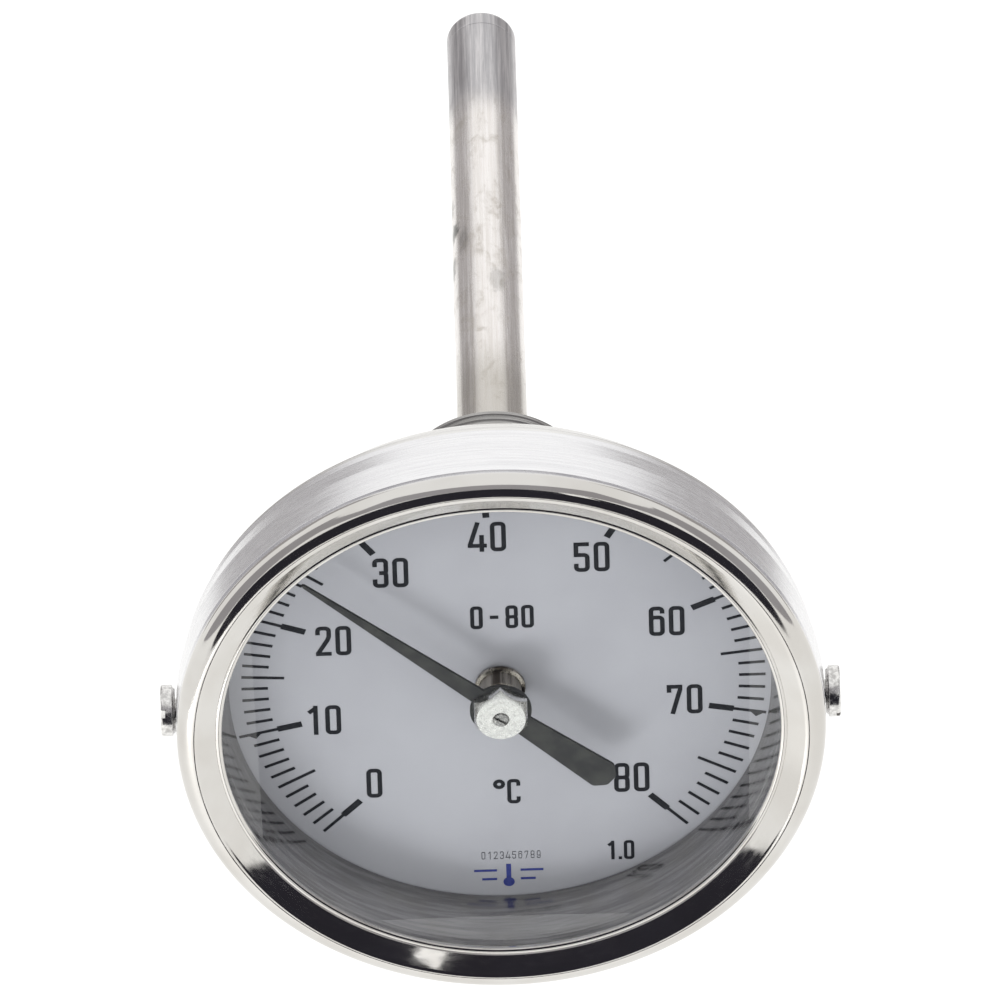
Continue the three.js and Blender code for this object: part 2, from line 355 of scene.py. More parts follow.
def mat_case():
    """Case cup: drawn sheet, turned brushing on the side and concentric brushing on the back."""
    m = Mat("brushed_stainless", (0.78, 0.77, 0.75), 0.3, 1.0)
    x, y, z = m.sep()
    r = m.radius()
    side = m.noise(scale=1.0, stretch=(0.04, 6.0, 0.04), detail=5, rough=0.7)
    rings = m.noise(m.combine(m.math("MULTIPLY", r, 5.0), m.math("MULTIPLY", x, 0.05), m.math("MULTIPLY", z, 0.05)), 1.0, 5, 0.7)
    back = m.ramp(y, 6.2, 8.4)
    s = m.math("ADD", m.math("MULTIPLY", side, m.math("SUBTRACT", 1.0, back)), m.math("MULTIPLY", rings, back))
    cloud = m.noise(scale=0.08, detail=4, off=5.0)
    c = m.mix(m.ramp(s, 0.36, 0.64), (0.62, 0.61, 0.60), (0.82, 0.81, 0.79))
    m.colour(m.mix(m.ramp(cloud, 0.4, 0.7, 0.0, 0.25), c, (0.60, 0.58, 0.55)))
    m.rough(m.ramp(s, 0.35, 0.65, 0.22, 0.36))
    m.bump(s, 10.0, 0.5)
    return m.mat


def mat_turned():
    """Neck: turned stainless with fine tool rings."""
    m = Mat("turned_stainless", (0.46, 0.45, 0.44), 0.28, 1.0)
    x, y, z = m.sep()
    r = m.radius()
    t = m.noise(m.combine(m.math("MULTIPLY", m.math("ADD", y, r), 7.0), m.math("MULTIPLY", x, 0.06), m.math("MULTIPLY", z, 0.06)), 1.0, 4, 0.65)
    cloud = m.noise(scale=0.25, detail=4, off=2.0)
    c = m.mix(m.ramp(t, 0.36, 0.64), (0.18, 0.175, 0.17), (0.44, 0.43, 0.42))
    m.colour(m.mix(m.ramp(cloud, 0.45, 0.7, 0.0, 0.4), c, (0.24, 0.23, 0.21)))
    m.rough(m.ramp(t, 0.35, 0.65, 0.2, 0.34))
    m.bump(t, 12.0, 0.6)
    return m.mat


def mat_stem():
    """Stem: drawn tube, bright and mottled, dull towards the tip, darker at the root, with a few stains."""
    m = Mat("stem_stainless", (0.86, 0.83, 0.80), 0.25, 1.0)
    x, y, z = m.sep()
    long_ = m.noise(scale=1.0, stretch=(2.6, 0.05, 2.6), detail=5, rough=0.7)
    fine = m.noise(scale=1.0, stretch=(7.0, 0.25, 7.0), detail=4, rough=0.7, off=4.0)
    blot = m.noise(scale=0.42, detail=5, rough=0.62, stretch=(1.0, 0.55, 1.0), distortion=0.6, off=9.0)
    blot2 = m.noise(scale=1.3, detail=5, rough=0.65, stretch=(1.0, 0.6, 1.0), distortion=0.4, off=15.0)
    bright = m.mix(m.ramp(long_, 0.35, 0.65), (0.73, 0.695, 0.665), (0.85, 0.82, 0.80))
    mott = m.math("MULTIPLY", m.ramp(blot, 0.48, 0.68), m.ramp(blot2, 0.38, 0.6, 0.35, 1.0))
    bright = m.mix(m.math("MULTIPLY", mott, 0.55), bright, (0.42, 0.38, 0.33))
    # dull end
    tip = m.ramp(y, 113.0, 120.5)
    dull = m.mix(m.ramp(long_, 0.36, 0.66), (0.42, 0.41, 0.42), (0.68, 0.66, 0.66))
    dull = m.mix(m.ramp(fine, 0.3, 0.75, 0.0, 0.35), dull, (0.30, 0.29, 0.30))
    c = m.mix(tip, bright, dull)
    # darker root
    root = m.ramp(m.math("ADD", y, m.math("MULTIPLY", blot, 8.0)), 60.0, 72.0, 1.0, 0.0)
    c = m.mix(m.math("MULTIPLY", root, 0.62), c, (0.40, 0.375, 0.33))
    # stains, as soft spots on the left side
    for sx, sy, sz, w, h, k in ((-4.1, 91.5, 1.6, 1.0, 2.2, 0.85), (-4.3, 84.2, 1.0, 0.8, 2.6, 0.8), (-3.0, 88.0, 3.2, 0.9, 3.2, 0.35), (-4.2, 97.0, 1.0, 0.7, 2.0, 0.4), (1.2, 78.0, 4.3, 1.2, 3.0, 0.28)):
        dx = m.math("DIVIDE", m.math("SUBTRACT", x, sx), w)
        dy = m.math("DIVIDE", m.math("SUBTRACT", y, sy), h)
        dz = m.math("DIVIDE", m.math("SUBTRACT", z, sz), w * 1.3)
        d = m.math("SQRT", m.math("ADD", m.math("ADD", m.math("MULTIPLY", dx, dx), m.math("MULTIPLY", dy, dy)), m.math("MULTIPLY", dz, dz)))
        d = m.math("ADD", d, m.math("MULTIPLY", m.math("SUBTRACT", blot2, 0.5), 1.8))
        c = m.mix(m.ramp(d, 0.45, 1.15, k, 0.0), c, (0.10, 0.10, 0.09))
    m.colour(c)
    base = m.ramp(long_, 0.3, 0.7, 0.18, 0.32)
    m.rough(m.math("ADD", m.math("ADD", base, m.math("MULTIPLY", tip, 0.1)), m.math("MULTIPLY", mott, 0.12)))
    m.bump(m.math("ADD", m.math("MULTIPLY", long_, 0.6), m.math("MULTIPLY", fine, 0.4)), 14.0, 0.5)
    return m.mat


def mat_dial():
    """Dial: pale blue-grey enamel on aluminium, with the slightest grain."""
    m = Mat("dial_enamel", (0.33, 0.335, 0.365), 0.5, 0.0, Specular_IOR_Level=0.2)
    cloud = m.noise(scale=0.05, detail=3, off=1.0)
    grain = m.noise(scale=4.5, detail=3, rough=0.6, off=6.0)
    c = m.mix(m.ramp(cloud, 0.35, 0.65), (0.383, 0.386, 0.420), (0.412, 0.416, 0.451))
    m.colour(m.mix(m.ramp(grain, 0.3, 0.7, 0.0, 0.10), c, (0.30, 0.304, 0.328)))
    m.rough(m.ramp(grain, 0.3, 0.7, 0.42, 0.56))
    m.bump(grain, 4.0, 0.5)
    return m.mat


def mat_ink(name, base):
    m = Mat(name, base, 0.45, 0.0, Specular_IOR_Level=0.12)
    g = m.noise(scale=7.0, detail=2, off=2.0)
    lift = tuple(min(1.0, c * 1.5 + 0.004) for c in base)
    m.colour(m.mix(m.ramp(g, 0.35, 0.7), base, lift))
    m.rough(m.ramp(g, 0.3, 0.7, 0.38, 0.55))
    m.bump(g, 2.0, 0.5)
    return m.mat


def mat_pointer():
    m = Mat("pointer_paint", (0.016, 0.017, 0.016), 0.5, 0.0, Specular_IOR_Level=0.25)
    g = m.noise(scale=9.0, detail=3, off=2.0)
    w = m.noise(scale=0.35, detail=3, off=8.0)
    c = m.mix(m.ramp(w, 0.35, 0.65), (0.034, 0.035, 0.036), (0.052, 0.053, 0.051))
    m.colour(m.mix(m.ramp(g, 0.55, 0.75, 0.0, 0.5), c, (0.075, 0.075, 0.072)))
    m.rough(m.ramp(g, 0.3, 0.7, 0.4, 0.58))
    m.bump(g, 6.0, 0.6)
    return m.mat


def mat_metal(name, lo, hi, r0, r1, stretch=(1, 1, 1), scale=2.0, um=5.0, spots=None):
    """A plated or plain metal with streaks or mottling between two tones; on the pointer bush the streaks and tones are
    painted reflections and painted shade.
    """
    m = Mat(name, hi, r0, 1.0)
    s = m.noise(scale=scale, stretch=stretch, detail=5, rough=0.65, off=3.0)
    c = m.mix(m.ramp(s, 0.35, 0.65), lo, hi)
    if spots:
        w = m.noise(scale=0.9, detail=4, off=12.0)
        c = m.mix(m.ramp(w, 0.5, 0.72, 0.0, 0.5), c, spots)
    m.colour(c)
    m.rough(m.ramp(s, 0.3, 0.7, r0, r1))
    m.bump(s, um, 0.5)
    return m.mat


def mat_wall():
    """Bright spacer wall round the dial: a rolled strip that mirrors the scale, slightly rippled."""
    m = Mat("spacer_bright", (0.38, 0.37, 0.355), 0.12, 1.0)
    s = m.noise(scale=1.0, stretch=(0.12, 2.2, 0.12), detail=4, rough=0.6, off=1.0)
    w = m.noise(scale=0.22, detail=3, off=5.0)
    c = m.mix(m.ramp(s, 0.35, 0.65), (0.30, 0.29, 0.29), (0.42, 0.41, 0.40))
    m.colour(m.mix(m.ramp(w, 0.4, 0.7, 0.0, 0.4), c, (0.33, 0.315, 0.29)))
    m.rough(m.ramp(s, 0.3, 0.7, 0.10, 0.2))
    m.bump(m.math("ADD", m.math("MULTIPLY", s, 0.3), m.math("MULTIPLY", w, 2.0)), 20.0, 0.5)
    return m.mat


def mat_rubber():
    m = Mat("black_nitrile", (0.018, 0.018, 0.019), 0.65)
    g = m.noise(scale=6.0, detail=4, off=2.0)
    m.colour(m.mix(m.ramp(g, 0.35, 0.7), (0.014, 0.014, 0.015), (0.035, 0.035, 0.036)))
    m.rough(m.ramp(g, 0.3, 0.7, 0.55, 0.8))
    m.bump(g, 12.0, 0.5)
    return m.mat


def mat_glass():
    m = Mat("window_glass", (0.97, 0.985, 0.98), 0.0, 0.0, Transmission_Weight=1.0, IOR=1.5)
    w = m.noise(scale=0.03, detail=1, off=2.0)
    m.bump(w, 8.0, 0.15)
    return m.mat


POLISHED, CASE, TURNED, STEM = mat_polished(), mat_case(), mat_turned(), mat_stem()
DIAL, WALL, RUBBER, GLASS, POINTER = mat_dial(), mat_wall(), mat_rubber(), mat_glass(), mat_pointer()
INK = mat_ink("scale_ink", (0.012, 0.013, 0.016))
BLUE = mat_ink("mark_ink", (0.035, 0.045, 0.19))
NUT = mat_metal("bright_nickel", (0.84, 0.83, 0.81), (0.92, 0.91, 0.89), 0.2, 0.3, scale=1.6, um=2)
SCREW = mat_metal("screw_nickel", (0.50, 0.49, 0.48), (0.80, 0.79, 0.77), 0.14, 0.28, scale=2.2, um=6, spots=(0.30, 0.29, 0.28))
# pointer bush: the dark and light streaks along its axis are painted reflections of the grey dial, and the darkest tone
# is painted shade from the bush's own reflected shadow
BUSH_PAINTED_REFLECTIONS = mat_metal("bush_nickel", (0.09, 0.075, 0.06), (0.56, 0.52, 0.46), 0.2, 0.34, stretch=(1.0, 0.03, 1.0), scale=0.62, um=6)
SHAFT = mat_metal("shaft_steel", (0.20, 0.20, 0.20), (0.52, 0.51, 0.50), 0.2, 0.32, scale=3.4, um=5)
BRASS = mat_metal("turned_brass", (0.62, 0.44, 0.18), (0.80, 0.60, 0.28), 0.22, 0.38, stretch=(0.3, 5.0, 0.3), scale=1.2, um=8, spots=(0.45, 0.30, 0.14))
WASHER = mat_metal("washer_nickel", (0.52, 0.52, 0.51), (0.72, 0.71, 0.69), 0.24, 0.4, scale=1.4, um=6)
BIMETAL = mat_metal("bimetal_strip", (0.48, 0.42, 0.34), (0.66, 0.60, 0.52), 0.26, 0.42, scale=0.9, um=8, spots=(0.40, 0.30, 0.24))
ROOT = mat_metal("bush_stainless", (0.58, 0.57, 0.55), (0.76, 0.75, 0.73), 0.22, 0.34, stretch=(0.2, 5, 0.2), scale=1.2, um=8)

for names, material in (
    (("screw_insert_left", "screw_insert_right", "neck_nut", "coil_anchor", "lower_bearing", "upper_bearing", "coil_driver"), BRASS),
    (("neck_lock_washer",), WASHER), (("neck_seal",), RUBBER), (("bimetal_coil",), BIMETAL), (("neck_end_bush",), ROOT),
):
    for nm in names:
        NODES[nm].data.materials.clear()
        NODES[nm].data.materials.append(material)

# ------------------------------------------------------------------------------------------------ bezel
SCREW_Y = -3.9
prof = fillet([(40.8, 0.4, 0.12), (40.8, -8.95, 0.1), (40.48, -9.22, 0.1), (40.66, -9.52, 0.1)], 3)
prof += arc(38.7, -9.9, 2.1, 2, -90, 18)
prof += [(38.42, -11.985), (38.2, -11.94), (38.05, -11.87)]
prof += [(35.98, -10.6), (35.88, -10.46), (35.8, -10.5), (35.42, -10.5), (35.24, -10.45), (35.14, -10.36), (35.1, -10.22)]
prof += fillet([(35.1, -9.9, 0.1), (39.7, -9.9), (40.1, -9.5), (40.1, 0.4, 0.1)], 2)
bez = lathe("bezel", prof, 288)
for sx in (-1, 1):
    cut(bez, discx("hole", 1.75, 37 * sx, 45 * sx, SCREW_Y))
settle(bez, POLISHED, "case", "bezel_ring", 34)

# ------------------------------------------------------------------------------------------------ case cup
prof = fillet([
    (39.8, -7.92, 0.1), (39.8, 1.64, 0.9), (37.2, 1.64, 0.35)] + arc(31.4, 3.4, 5.6, 0, 90, 16) + [(14.0, 9.0), (8.1, 9.0, 0.1),
    (8.1, 8.2)] + arc(31.4, 3.4, 4.8, 90, 0, 14) + [(36.3, 0.84, 0.2), (39.0, 0.84, 0.3), (39.0, -7.92, 0.1)], 8)
cup = lathe("rear_case", prof, 224)
for sx in (-1, 1):
    cut(cup, discx("hole", 1.7, 36 * sx, 45 * sx, SCREW_Y))
settle(cup, CASE, "case", "case_cup", 34)

# ------------------------------------------------------------------------------------------------ window, gasket, spacer
prof = fillet([(0, -9.46), (39.6, -9.46, 0.3), (39.6, -7.96, 0.3), (0, -7.96)], 3)
window = settle(lathe("window_pane", prof, 160), GLASS, "case", "window_glass", 30)
window.visible_shadow = False
window.visible_diffuse = False
prof = fillet([(35.72, -9.87, 0.12), (39.5, -9.87, 0.12), (39.5, -9.5, 0.12), (35.72, -9.5, 0.12)], 3)
settle(lathe("window_seal", prof, 192), RUBBER, "case", "window_gasket", 30)
prof = fillet([
    (36.2, -7.93, 0.3), (38.85, -7.93, 0.1), (38.85, -7.43, 0.1), (36.65, -7.43, 0.2),
    (34.6, -0.53, 0.2), (38.0, -0.53, 0.1), (38.0, -0.03, 0.1), (34.05, -0.03, 0.25)], 4)
settle(lathe("mirror_spacer", prof, 288), WALL, "case", "spacer_ring", 34)

# ------------------------------------------------------------------------------------------------ dial and its print
prof = fillet([(1.7, 0.0, 0.08), (38.2, 0.0, 0.12), (38.2, 0.8, 0.12), (1.7, 0.8, 0.08)], 3)
settle(lathe("dial_face", prof, 192), DIAL, "case", "dial_plate", 30)


PZ = 0.5                                    # the print sits a little above the plate's centre


def flat_print(name, polys, mat, top=-0.045, bottom=0.02):
    """Raised ink: the union of flat polygons of (x, z), as one thin solid on the dial face."""
    verts, faces = [], []
    for p in polys:
        area = sum(p[i][0] * p[(i + 1) % len(p)][1] - p[(i + 1) % len(p)][0] * p[i][1] for i in range(len(p)))
        if abs(area) < 1e-5:
            continue
        q = p if area > 0 else p[::-1]
        faces.append(list(range(len(verts), len(verts) + len(q))))
        verts += [Vector((v[0], v[1] + PZ)) for v in q]
    vo, _, fo, _, _, src = delaunay_2d_cdt(verts, [], faces, 0, 1e-4, True)
    keep = [f for f, s in zip(fo, src) if s]
    bm = bmesh.new()
    a, b = {}, {}
    for i in sorted({i for f in keep for i in f}):
        a[i] = bm.verts.new((vo[i].x, top, vo[i].y))
        b[i] = bm.verts.new((vo[i].x, bottom, vo[i].y))
    edges = {}
    for f in keep:
        bm.faces.new([a[i] for i in f])
        bm.faces.new([b[i] for i in reversed(f)])
        for i in range(len(f)):
            e = (f[i], f[(i + 1) % len(f)])
            if (e[1], e[0]) in edges:
                del edges[(e[1], e[0])]
            else:
                edges[e] = 1
    for i, j in edges:
        bm.faces.new((a[j], a[i], b[i], b[j]))
    bmesh.ops.recalc_face_normals(bm, faces=bm.faces)
    bmesh.ops.dissolve_limit(bm, angle_limit=rad(0.5), verts=bm.verts, edges=bm.edges)
    return settle(link(name, bm), mat, "case", sharp=20)


def ribbon(path, w, closed=False):
    """Quads along a centreline with mitred joints."""
    pts = [Vector(p) for p in path]
    n = len(pts)
    L, R = [], []
    for i, p in enumerate(pts):
        a = pts[i - 1] if (closed or i > 0) else None
        b = pts[(i + 1) % n] if (closed or i < n - 1) else None
        d0 = (p - a).normalized() if a is not None else None
        d1 = (b - p).normalized() if b is not None else None
        if d0 is None:
            d0 = d1
        if d1 is None:
            d1 = d0
        n0, n1 = Vector((-d0.y, d0.x)), Vector((-d1.y, d1.x))
        m = (n0 + n1).normalized()
        k = w / 2 / max(0.35, m.dot(n0))
        L.append(p + m * k)
        R.append(p - m * k)
    out = []
    for i in range(n if closed else n - 1):
        j = (i + 1) % n
        out.append([tuple(R[i]), tuple(R[j]), tuple(L[j]), tuple(L[i])])
    return out


def glyph(ch):
    """Centrelines of a condensed figure, drawn in a cell 2.0 wide and 4.65 high. Returns (paths, closed) pairs."""
    w, h, r, s = 0.70, 2.035, 0.45, 0.29
    ar = lambda cx, cy, a0, a1: arc(cx, cy, r, a0, a1, 6)
    box = lambda y0, y1: ar(w - r, y1 - r, 0, 90) + ar(-w + r, y1 - r, 90, 180) + ar(-w + r, y0 + r, 180, 270) + ar(w - r, y0 + r, 270, 360)
    if ch == "0":
        return [(box(-h, h), True)]
    if ch == "1":
        return [([(0.30, -h - s), (0.30, h + s)], False), ([(0.42, h - 0.02), (-0.56, h - 0.82)], False)]
    if ch == "2":
        return [([(-w, 1.0)] + ar(-w + r, h - r, 180, 90) + ar(w - r, h - r, 90, 0) + [(w, 0.72), (w - 0.16, 0.22), (-w + 0.02, -h + 0.12)], False),
                ([(-w - s, -h), (w + s, -h)], False)]
    if ch == "3":
        return [([(-w, 1.0)] + ar(-w + r, h - r, 180, 90) + ar(w - r, h - r, 90, 0) + arc(w - 0.34, 0.34, 0.34, 0, -90, 4) + [(-0.16, 0.0)], False),
                ([(-0.16, 0.0)] + arc(w - 0.34, -0.34, 0.34, 90, 0, 4) + ar(w - r, -h + r, 0, -90) + ar(-w + r, -h + r, 270, 180) + [(-w, -1.0)], False)]
    if ch == "4":
        return [([(0.10, h + s), (-0.92, -1.30)], False), ([(-1.2, -1.38), (1.2, -1.38)], False), ([(0.56, 0.30), (0.56, -h - s)], False)]
    if ch == "5":
        return [([(w + s - 0.04, h), (-w, h), (-w, 0.2)], False),
                ([(-w - s, 0.34)] + ar(w - r, 0.34 - r, 90, 0) + ar(w - r, -h + r, 0, -90) + ar(-w + r, -h + r, 270, 180) + [(-w, -1.05)], False)]
    if ch == "6":
        return [(box(-h, 0.60), True), ([(-w, -0.6)] + ar(-w + r, h - r, 180, 90) + ar(w - r, h - r, 90, 0) + [(w, 1.22)], False)]
    if ch == "7":
        return [([(-w, 1.12), (-w, h), (w, h), (w, h - 0.42), (-0.30, -h - s)], False)]
    if ch == "8":
        return [(box(0.0, h), True), (box(-h, 0.0), True)]
    if ch == "9":
        return [([(-x, -y) for x, y in p], c) for p, c in glyph("6")]
    if ch == "C":
        return [([(w, 1.05)] + ar(w - r, h - r, 0, 90) + ar(-w + r, h - r, 90, 180) + ar(-w + r, -h + r, 180, 270) + ar(w - r, -h + r, 270, 360) + [(w, -1.05)], False)]
    if ch == "-":
        return [([(-0.7, 0.0), (0.7, 0.0)], False)]
    if ch == ".":
        return [([(0.0, -h - s), (0.0, -h + s + 0.08)], False)]
    if ch == "d":   # degree ring
        return [(arc(0, h - 0.62, 0.62, 0, 330, 11), True)]
    return []


def text(s, cx, cz, height=4.65, pitch=2.5, stroke=0.58, pitches=None):
    k = height / 4.65
    pitches = pitches or [pitch] * (len(s) - 1)
    total = sum(pitches)
    x, out = cx - total * k / 2, []
    for i, ch in enumerate(s):
        for path, closed in glyph(ch):
            q = ribbon(path, stroke, closed)
            out += [[(x + px * k, cz + pz * k) for px, pz in poly] for poly in q]
        if i < len(pitches):
            x += pitches[i] * k
    return out


PX = 0.45                                   # the print sits a little to the right of the plate's centre


def at(v):
    """Angle on the dial, clockwise from the top, of a temperature."""
    u = v / 80.0
    return -135.72 + 271.44 * u - 4.06 * 4 * u * (1 - u) - 0.9 * u * (1 - u) * (1 - 2 * u) + 0.63


def bar(ang, r0, r1, w0, w1=None):
    a = rad(ang)
    d, n = Vector((sin(a), cos(a))), Vector((cos(a), -sin(a)))
    o = Vector((PX, 0.0))
    w1 = w0 if w1 is None else w1
    return [tuple(o + d * r0 - n * w0 / 2), tuple(o + d * r0 + n * w0 / 2), tuple(o + d * r1 + n * w1 / 2), tuple(o + d * r1 - n * w1 / 2)]


ticks = []
for v in range(0, 81):
    a = at(v)
    if v % 10 == 0:
        ticks.append(bar(a, 26.25, 29.4, 0.86))
        outer = 33.0
        if v in (10, 70):
            outer = 33.98 + (0.42 if v == 10 else -0.42)
            side = -1 if v == 10 else 1       # the small triangle lies outside the measuring range
            d, n = Vector((sin(rad(a)), cos(rad(a)))), Vector((cos(rad(a)), -sin(rad(a))))
            o = Vector((PX, 0.0))
            ticks.append([tuple(o + d * 31.4), tuple(o + d * 33.4), tuple(o + d * 32.4 + n * side * 0.8)])
        ticks.append(bar(a, 29.2, outer, 0.40))
    elif v % 5 == 0:
        ticks.append(bar(a, 27.61, 33.0, 0.40))
    else:
        ticks.append(bar(a, 29.65, 33.0, 0.40))
flat_print("scale_ticks", ticks, INK)

numerals = []
for s, cx, cz in (("0", -16.25, -15.83), ("10", -22.4, -5.38), ("20", -20.77, 7.28), ("30", -13.31, 17.88), ("40", -1.01, 23.15),
                  ("50", 11.95, 19.47), ("60", 21.16, 8.89), ("70", 23.2, -3.74), ("80", 16.28, -16.1)):
    numerals += text(s, cx, cz, pitches=[2.62] if s == "40" else None)
flat_print("scale_numerals", numerals, INK)

small = text("0-80", 0.5, 10.3, 3.55, stroke=0.66, pitches=[2.9, 2.9, 2.6])
small += text("dC", 0.42, -17.8, 3.9, stroke=0.6, pitches=[2.2])
small += text("1.0", 14.6, -27.85, 3.0, stroke=0.66, pitches=[1.75, 1.75])
small += text("0123456789", 0.75, -28.15, 1.25, stroke=0.24, pitches=[2.9] * 9)
flat_print("dial_small_print", small, INK)

# a plain thermometer pictogram, in blue, with two short rules beside it
pic = ribbon([(0.4, -31.9), (0.4, -29.6)], 0.62)
pic += [[(0.4 + 0.72 * cos(a * pi / 12), -32.5 + 0.72 * sin(a * pi / 12)) for a in range(24)]]
for sgn in (-1, 1):
    pic += ribbon([(0.4 + sgn * 1.5, -30.6), (0.4 + sgn * 4.4, -30.6)], 0.34)
    pic += ribbon([(0.4 + sgn * 1.5, -32.0), (0.4 + sgn * 3.4, -32.0)], 0.34)
flat_print("dial_pictogram", pic, BLUE)

# ------------------------------------------------------------------------------------------------ side screws
for side, sx in (("left", -1), ("right", 1)):
    prof = fillet([(0, 36.2), (1.15, 36.2), (1.5, 36.55), (1.5, 40.92, 0.05), (2.75, 40.92), (3.0, 41.2, 0.12),
                   (3.27, 41.3, 0.1), (3.27, 42.75, 0.32), (0, 42.75)], 4)
    s = lathe("screw_" + side, prof, 72)
    cut(s, block("slot", 8.0, 1.1, 0.95, Matrix.Translation((0, 42.75, 0)) @ Matrix.Rotation(rad(30), 4, "Y")))
    bevel(s, 0.06, 2, 50)
    settle(s, SCREW, "case", "bezel_screw_" + side, 32,
           Matrix.Translation((0, SCREW_Y, 0)) @ Matrix.Rotation(-sx * pi / 2, 4, "Z"))

# ------------------------------------------------------------------------------------------------ neck and stem
prof = fillet([
    (4.62, 3.6, 0.1), (7.5, 3.6), (7.95, 4.05), (7.95, 9.68, 0.1), (11.75, 9.68), (12.15, 10.08, 0.05),
    (12.15, 36.15, 0.08), (11.8, 36.45, 0.12), (11.8, 36.95, 0.12), (12.15, 37.25, 0.08),
    (12.15, 37.85, 0.08), (11.92, 38.05, 0.08), (11.92, 38.25, 0.08), (12.15, 38.45, 0.08),
    (12.15, 38.95, 0.08), (11.92, 39.15, 0.08), (11.92, 39.3, 0.08), (12.15, 39.5, 0.08),
    (12.15, 39.95, 0.12), (11.65, 40.4, 0.12), (8.0, 40.4, 0.1), (8.0, 16.0), (4.62, 16.0, 0.1)], 4)
settle(lathe("neck", prof, 144), TURNED, "case", "neck_body", 34)

prof = fillet([(3.9, 3.6, 0.1), (4.5, 3.6, 0.1), (4.5, 133.35, 0.05), (3.9, 133.35, 0.05)], 2)
body = []
for i in range(len(prof)):
    a, b = prof[i], prof[(i + 1) % len(prof)]
    body.append(a)
    if abs(b[1] - a[1]) > 50:
        body += [(a[0], a[1] + (b[1] - a[1]) * k / 60) for k in range(1, 60)]


def draw_wave(a, r, y):
    """Drawn tube: a few hundredths of a millimetre out of true along its length."""
    return -0.012 + 0.010 * sin(y * 0.21 + 1.3) * sin(a + 0.4) - 0.008 * sin(y * 0.093) * cos(2 * a)


settle(lathe("stem", body, 96, draw_wave), STEM, "case", "stem_tube", 34)
prof = fillet([(0, 130.8), (3.87, 130.8, 0.1), (3.87, 133.4), (4.47, 133.4, 0.05), (4.5, 133.6), (4.5, 136.4, 1.25), (0, 136.4)], 8)
settle(lathe("stem_tip", prof, 96), STEM, "case", "stem_end_plug", 34)

# ------------------------------------------------------------------------------------------------ pointer assembly
READ = -49.4
turn = Matrix.Rotation(rad(READ), 4, "Y")


def hexagon(name, af, y0, y1, bore, face, drop):
    rc = af / math.sqrt(3)
    out = [(rc * sin(i * pi / 3), rc * cos(i * pi / 3)) for i in range(6)]
    h = prism(name, out, y0, y1)
    top = min(y0, y1)
    cone = lathe("cone", [(0, top - 0.001), (face, top - 0.001), (rc + 0.05, top + drop), (rc + 0.4, top + drop + 0.35),
                          (rc + 0.4, max(y0, y1) + 1), (0, max(y0, y1) + 1)], 96)
    cut(h, cone, "INTERSECT")
    cut(h, lathe("bore", [(0, top - 1), (bore, top - 1), (bore, max(y0, y1) + 1), (0, max(y0, y1) + 1)], 48))
    return h


sh = lathe("spindle", fillet([(0, -7.4), (1.0, -7.4, 0.18), (1.0, 69.0, 0.1), (0, 69.0)], 4), 64)
cut(sh, block("slot", 3.0, 0.9, 0.35, Matrix.Translation((0, -7.4, 0)) @ Matrix.Rotation(rad(35), 4, "Y")))
settle(sh, SHAFT, "pointer_assembly", "pointer_shaft", 32)

prof = fillet([(1.03, -0.25, 0.05), (3.2, -0.25, 0.15), (3.2, -0.8, 0.1), (2.75, -0.95, 0.05), (2.75, -3.2, 0.1), (2.62, -3.35, 0.05), (2.62, -3.6, 0.05), (3.05, -3.75, 0.12),
               (3.05, -4.55, 0.15), (2.7, -4.87, 0.1), (1.03, -4.87, 0.05)], 4)
settle(lathe("pointer_boss", prof, 96), BUSH_PAINTED_REFLECTIONS, "pointer_assembly", "pointer_bush", 32)

HUB, ROOTW, TIPW, TAILW, TAIL, TIP = 3.9, 1.15, 0.22, 2.15, 18.1, 32.2
hubA, hubB = math.asin(ROOTW / HUB), math.asin(1.45 / HUB)
out = [(TIPW, TIP - 0.4), (0.0, TIP), (-TIPW, TIP - 0.4)]
out += [(HUB * cos(a), HUB * sin(a)) for a in [pi / 2 + hubA + (pi - hubA - hubB) * i / 22 for i in range(23)]]
out += fillet([(-1.45, -HUB * cos(hubB)), (-TAILW, -TAIL + 1.35, 0.9), (-TAILW + 1.3, -TAIL, 0.9), (TAILW - 1.3, -TAIL, 0.9), (TAILW, -TAIL + 1.35, 0.9), (1.45, -HUB * cos(hubB))], 5, closed=False)[1:-1]
out += [(HUB * cos(a), HUB * sin(a)) for a in [-pi / 2 + hubB + (pi - hubA - hubB) * i / 22 for i in range(23)]]
bl = prism("pointer_blade", out, -5.4, -4.9)
cut(bl, lathe("bore", [(0, -6), (1.05, -6), (1.05, -4), (0, -4)], 48))
bevel(bl, 0.07, 2, 30)
settle(bl, POINTER, "pointer_assembly", "pointer", 32, turn)

nut = hexagon("hub_nut", 6.7, -7.15, -5.43, 1.05, 3.1, 1.25)
bevel(nut, 0.07, 2, 24)
settle(nut, NUT, "pointer_assembly", "pointer_nut", 32)


# ------------------------------------------------------------------------------------------------ stage and light
def emitter(name, colour, strength):
    m = bpy.data.materials.new(name)
    m.use_nodes = True
    m.node_tree.nodes.clear()
    o = m.node_tree.nodes.new("ShaderNodeOutputMaterial")
    e = m.node_tree.nodes.new("ShaderNodeEmission")
    e.inputs[0].default_value = (*colour, 1)
    e.inputs[1].default_value = strength
    m.node_tree.links.new(e.outputs[0], o.inputs[0])
    return m


def sheet(name, corners, mat, reflect_only=True):
    bm = bmesh.new()
    bm.faces.new([bm.verts.new(c) for c in corners])
    ob = link(name, bm)
    ob.data.materials.append(mat)
    if reflect_only:
        ob.visible_camera = ob.visible_diffuse = ob.visible_transmission = ob.visible_shadow = False
        ob.visible_volume_scatter = False
    return ob


world = bpy.data.worlds.new("studio")
bpy.context.scene.world = world
world.use_nodes = True
world.node_tree.nodes["Background"].inputs[0].default_value = (1.0, 1.0, 1.0, 1)
world.node_tree.nodes["Background"].inputs[1].default_value = 1.12

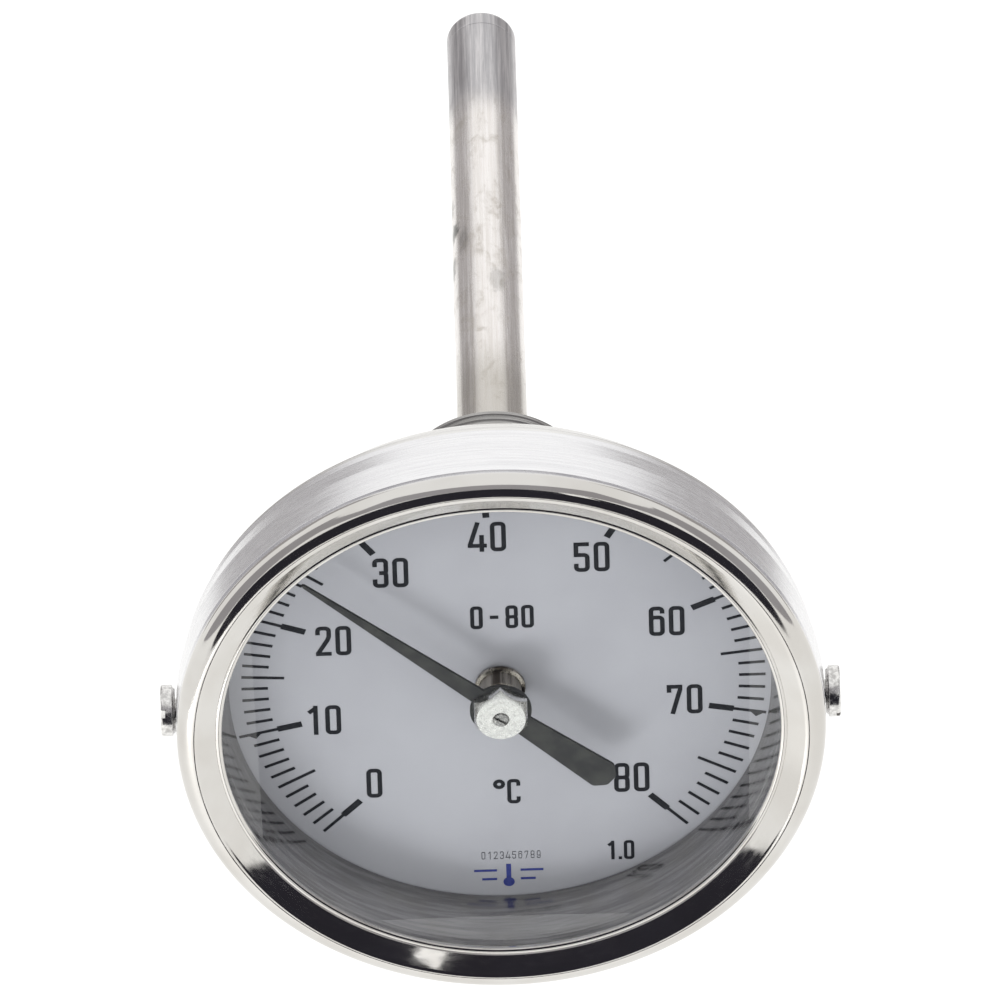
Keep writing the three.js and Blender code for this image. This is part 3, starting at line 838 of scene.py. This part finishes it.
floor = Mat("pale_floor", (0.86, 0.86, 0.85), 0.8)
g = floor.noise(scale=0.004, detail=2)
floor.colour(floor.mix(g, (0.86, 0.86, 0.85), (0.90, 0.90, 0.89)))
floor.p.inputs["Emission Color"].default_value = (1, 1, 1, 1)
floor.p.inputs["Emission Strength"].default_value = 0.16
sheet("floor", [(-6, -6, -0.8), (6, -6, -0.8), (6, 6, -0.8), (-6, 6, -0.8)], floor.mat, reflect_only=False)


def dir_pt(az, el, d):
    """A point d metres from the dial, az degrees to the right of the front, el degrees up."""
    a, e = rad(az), rad(el)
    return Vector((sin(a) * cos(e) * d, DIAL_Y * 0.001 - cos(a) * cos(e) * d, sin(e) * d))


def card(name, a0, a1, e0, e1, d, mat, round_=False):
    """A plain curved card in front of a light or a wall, at distance d: azimuths a0 to a1, elevations e0 to e1."""
    n, m = 16, 12
    bm = bmesh.new()
    ca, ce, ha, he = (a0 + a1) / 2, (e0 + e1) / 2, (a1 - a0) / 2, (e1 - e0) / 2
    grid = []
    for i in range(n + 1):
        row = []
        for k in range(m + 1):
            u, v = 2 * i / n - 1, 2 * k / m - 1
            if round_:      # an oval card
                u, v = u * math.sqrt(1 - v * v / 2), v * math.sqrt(1 - u * u / 2)
            row.append(bm.verts.new(dir_pt(ca + ha * u, ce + he * v, d)))
        grid.append(row)
    for i in range(n):
        for k in range(m):
            bm.faces.new((grid[i][k], grid[i + 1][k], grid[i + 1][k + 1], grid[i][k + 1]))
    ob = link(name, bm)
    ob.data.materials.append(mat)
    ob.visible_camera = ob.visible_diffuse = ob.visible_transmission = ob.visible_shadow = False
    ob.visible_volume_scatter = False
    return ob


# plain studio gear, seen only in reflections: two black flags, one small softbox, grey panels at the sides and above
BLACK = emitter("flag_black", (0.030, 0.029, 0.038), 1.0)
GREY = emitter("panel_grey", (0.43, 0.42, 0.44), 1.0)
BACK = emitter("panel_back", (0.47, 0.455, 0.46), 1.0)
card("flag_front", -50, 50, -30, 28, 0.80, BLACK, round_=True)
card("flag_window", -3.1, 3.1, -40.3, -35.8, 1.15, BLACK).visible_transmission = True
card("softbox", 13.6, 19.4, 17.5, 25.5, 0.76, emitter("softbox_white", (1.0, 1.0, 1.0), 1.4))
card("panel_top", -54, 54, 28, 56, 0.86, GREY)
for side in (-1, 1):
    card("panel_side_left" if side < 0 else "panel_side_right", *sorted((52 * side, 96 * side)), -9, 44, 0.88, GREY)
    card("panel_back_left" if side < 0 else "panel_back_right", *sorted((128 * side, 162 * side)), -16, 22, 1.0, BACK)


def lamp(name, az, el, d, size, power, colour=(1, 1, 1), glossy=False):
    l = bpy.data.lights.new(name, "AREA")
    l.shape, l.size, l.energy, l.color = "DISK", size, power, colour
    o = bpy.data.objects.new(name, l)
    bpy.context.scene.collection.objects.link(o)
    p = dir_pt(az, el, d)
    o.location = p
    o.rotation_mode = "QUATERNION"
    o.rotation_quaternion = (Vector((0, DIAL_Y * 0.001, 0)) - p).to_track_quat("-Z", "Y")
    o.visible_glossy = glossy
    o.visible_transmission = False
    return o


lamp("key", -28, -30, 1.5, 0.75, 14.0)

scene = bpy.context.scene
scene.view_settings.view_transform = "Standard"
scene.view_settings.look = "None"
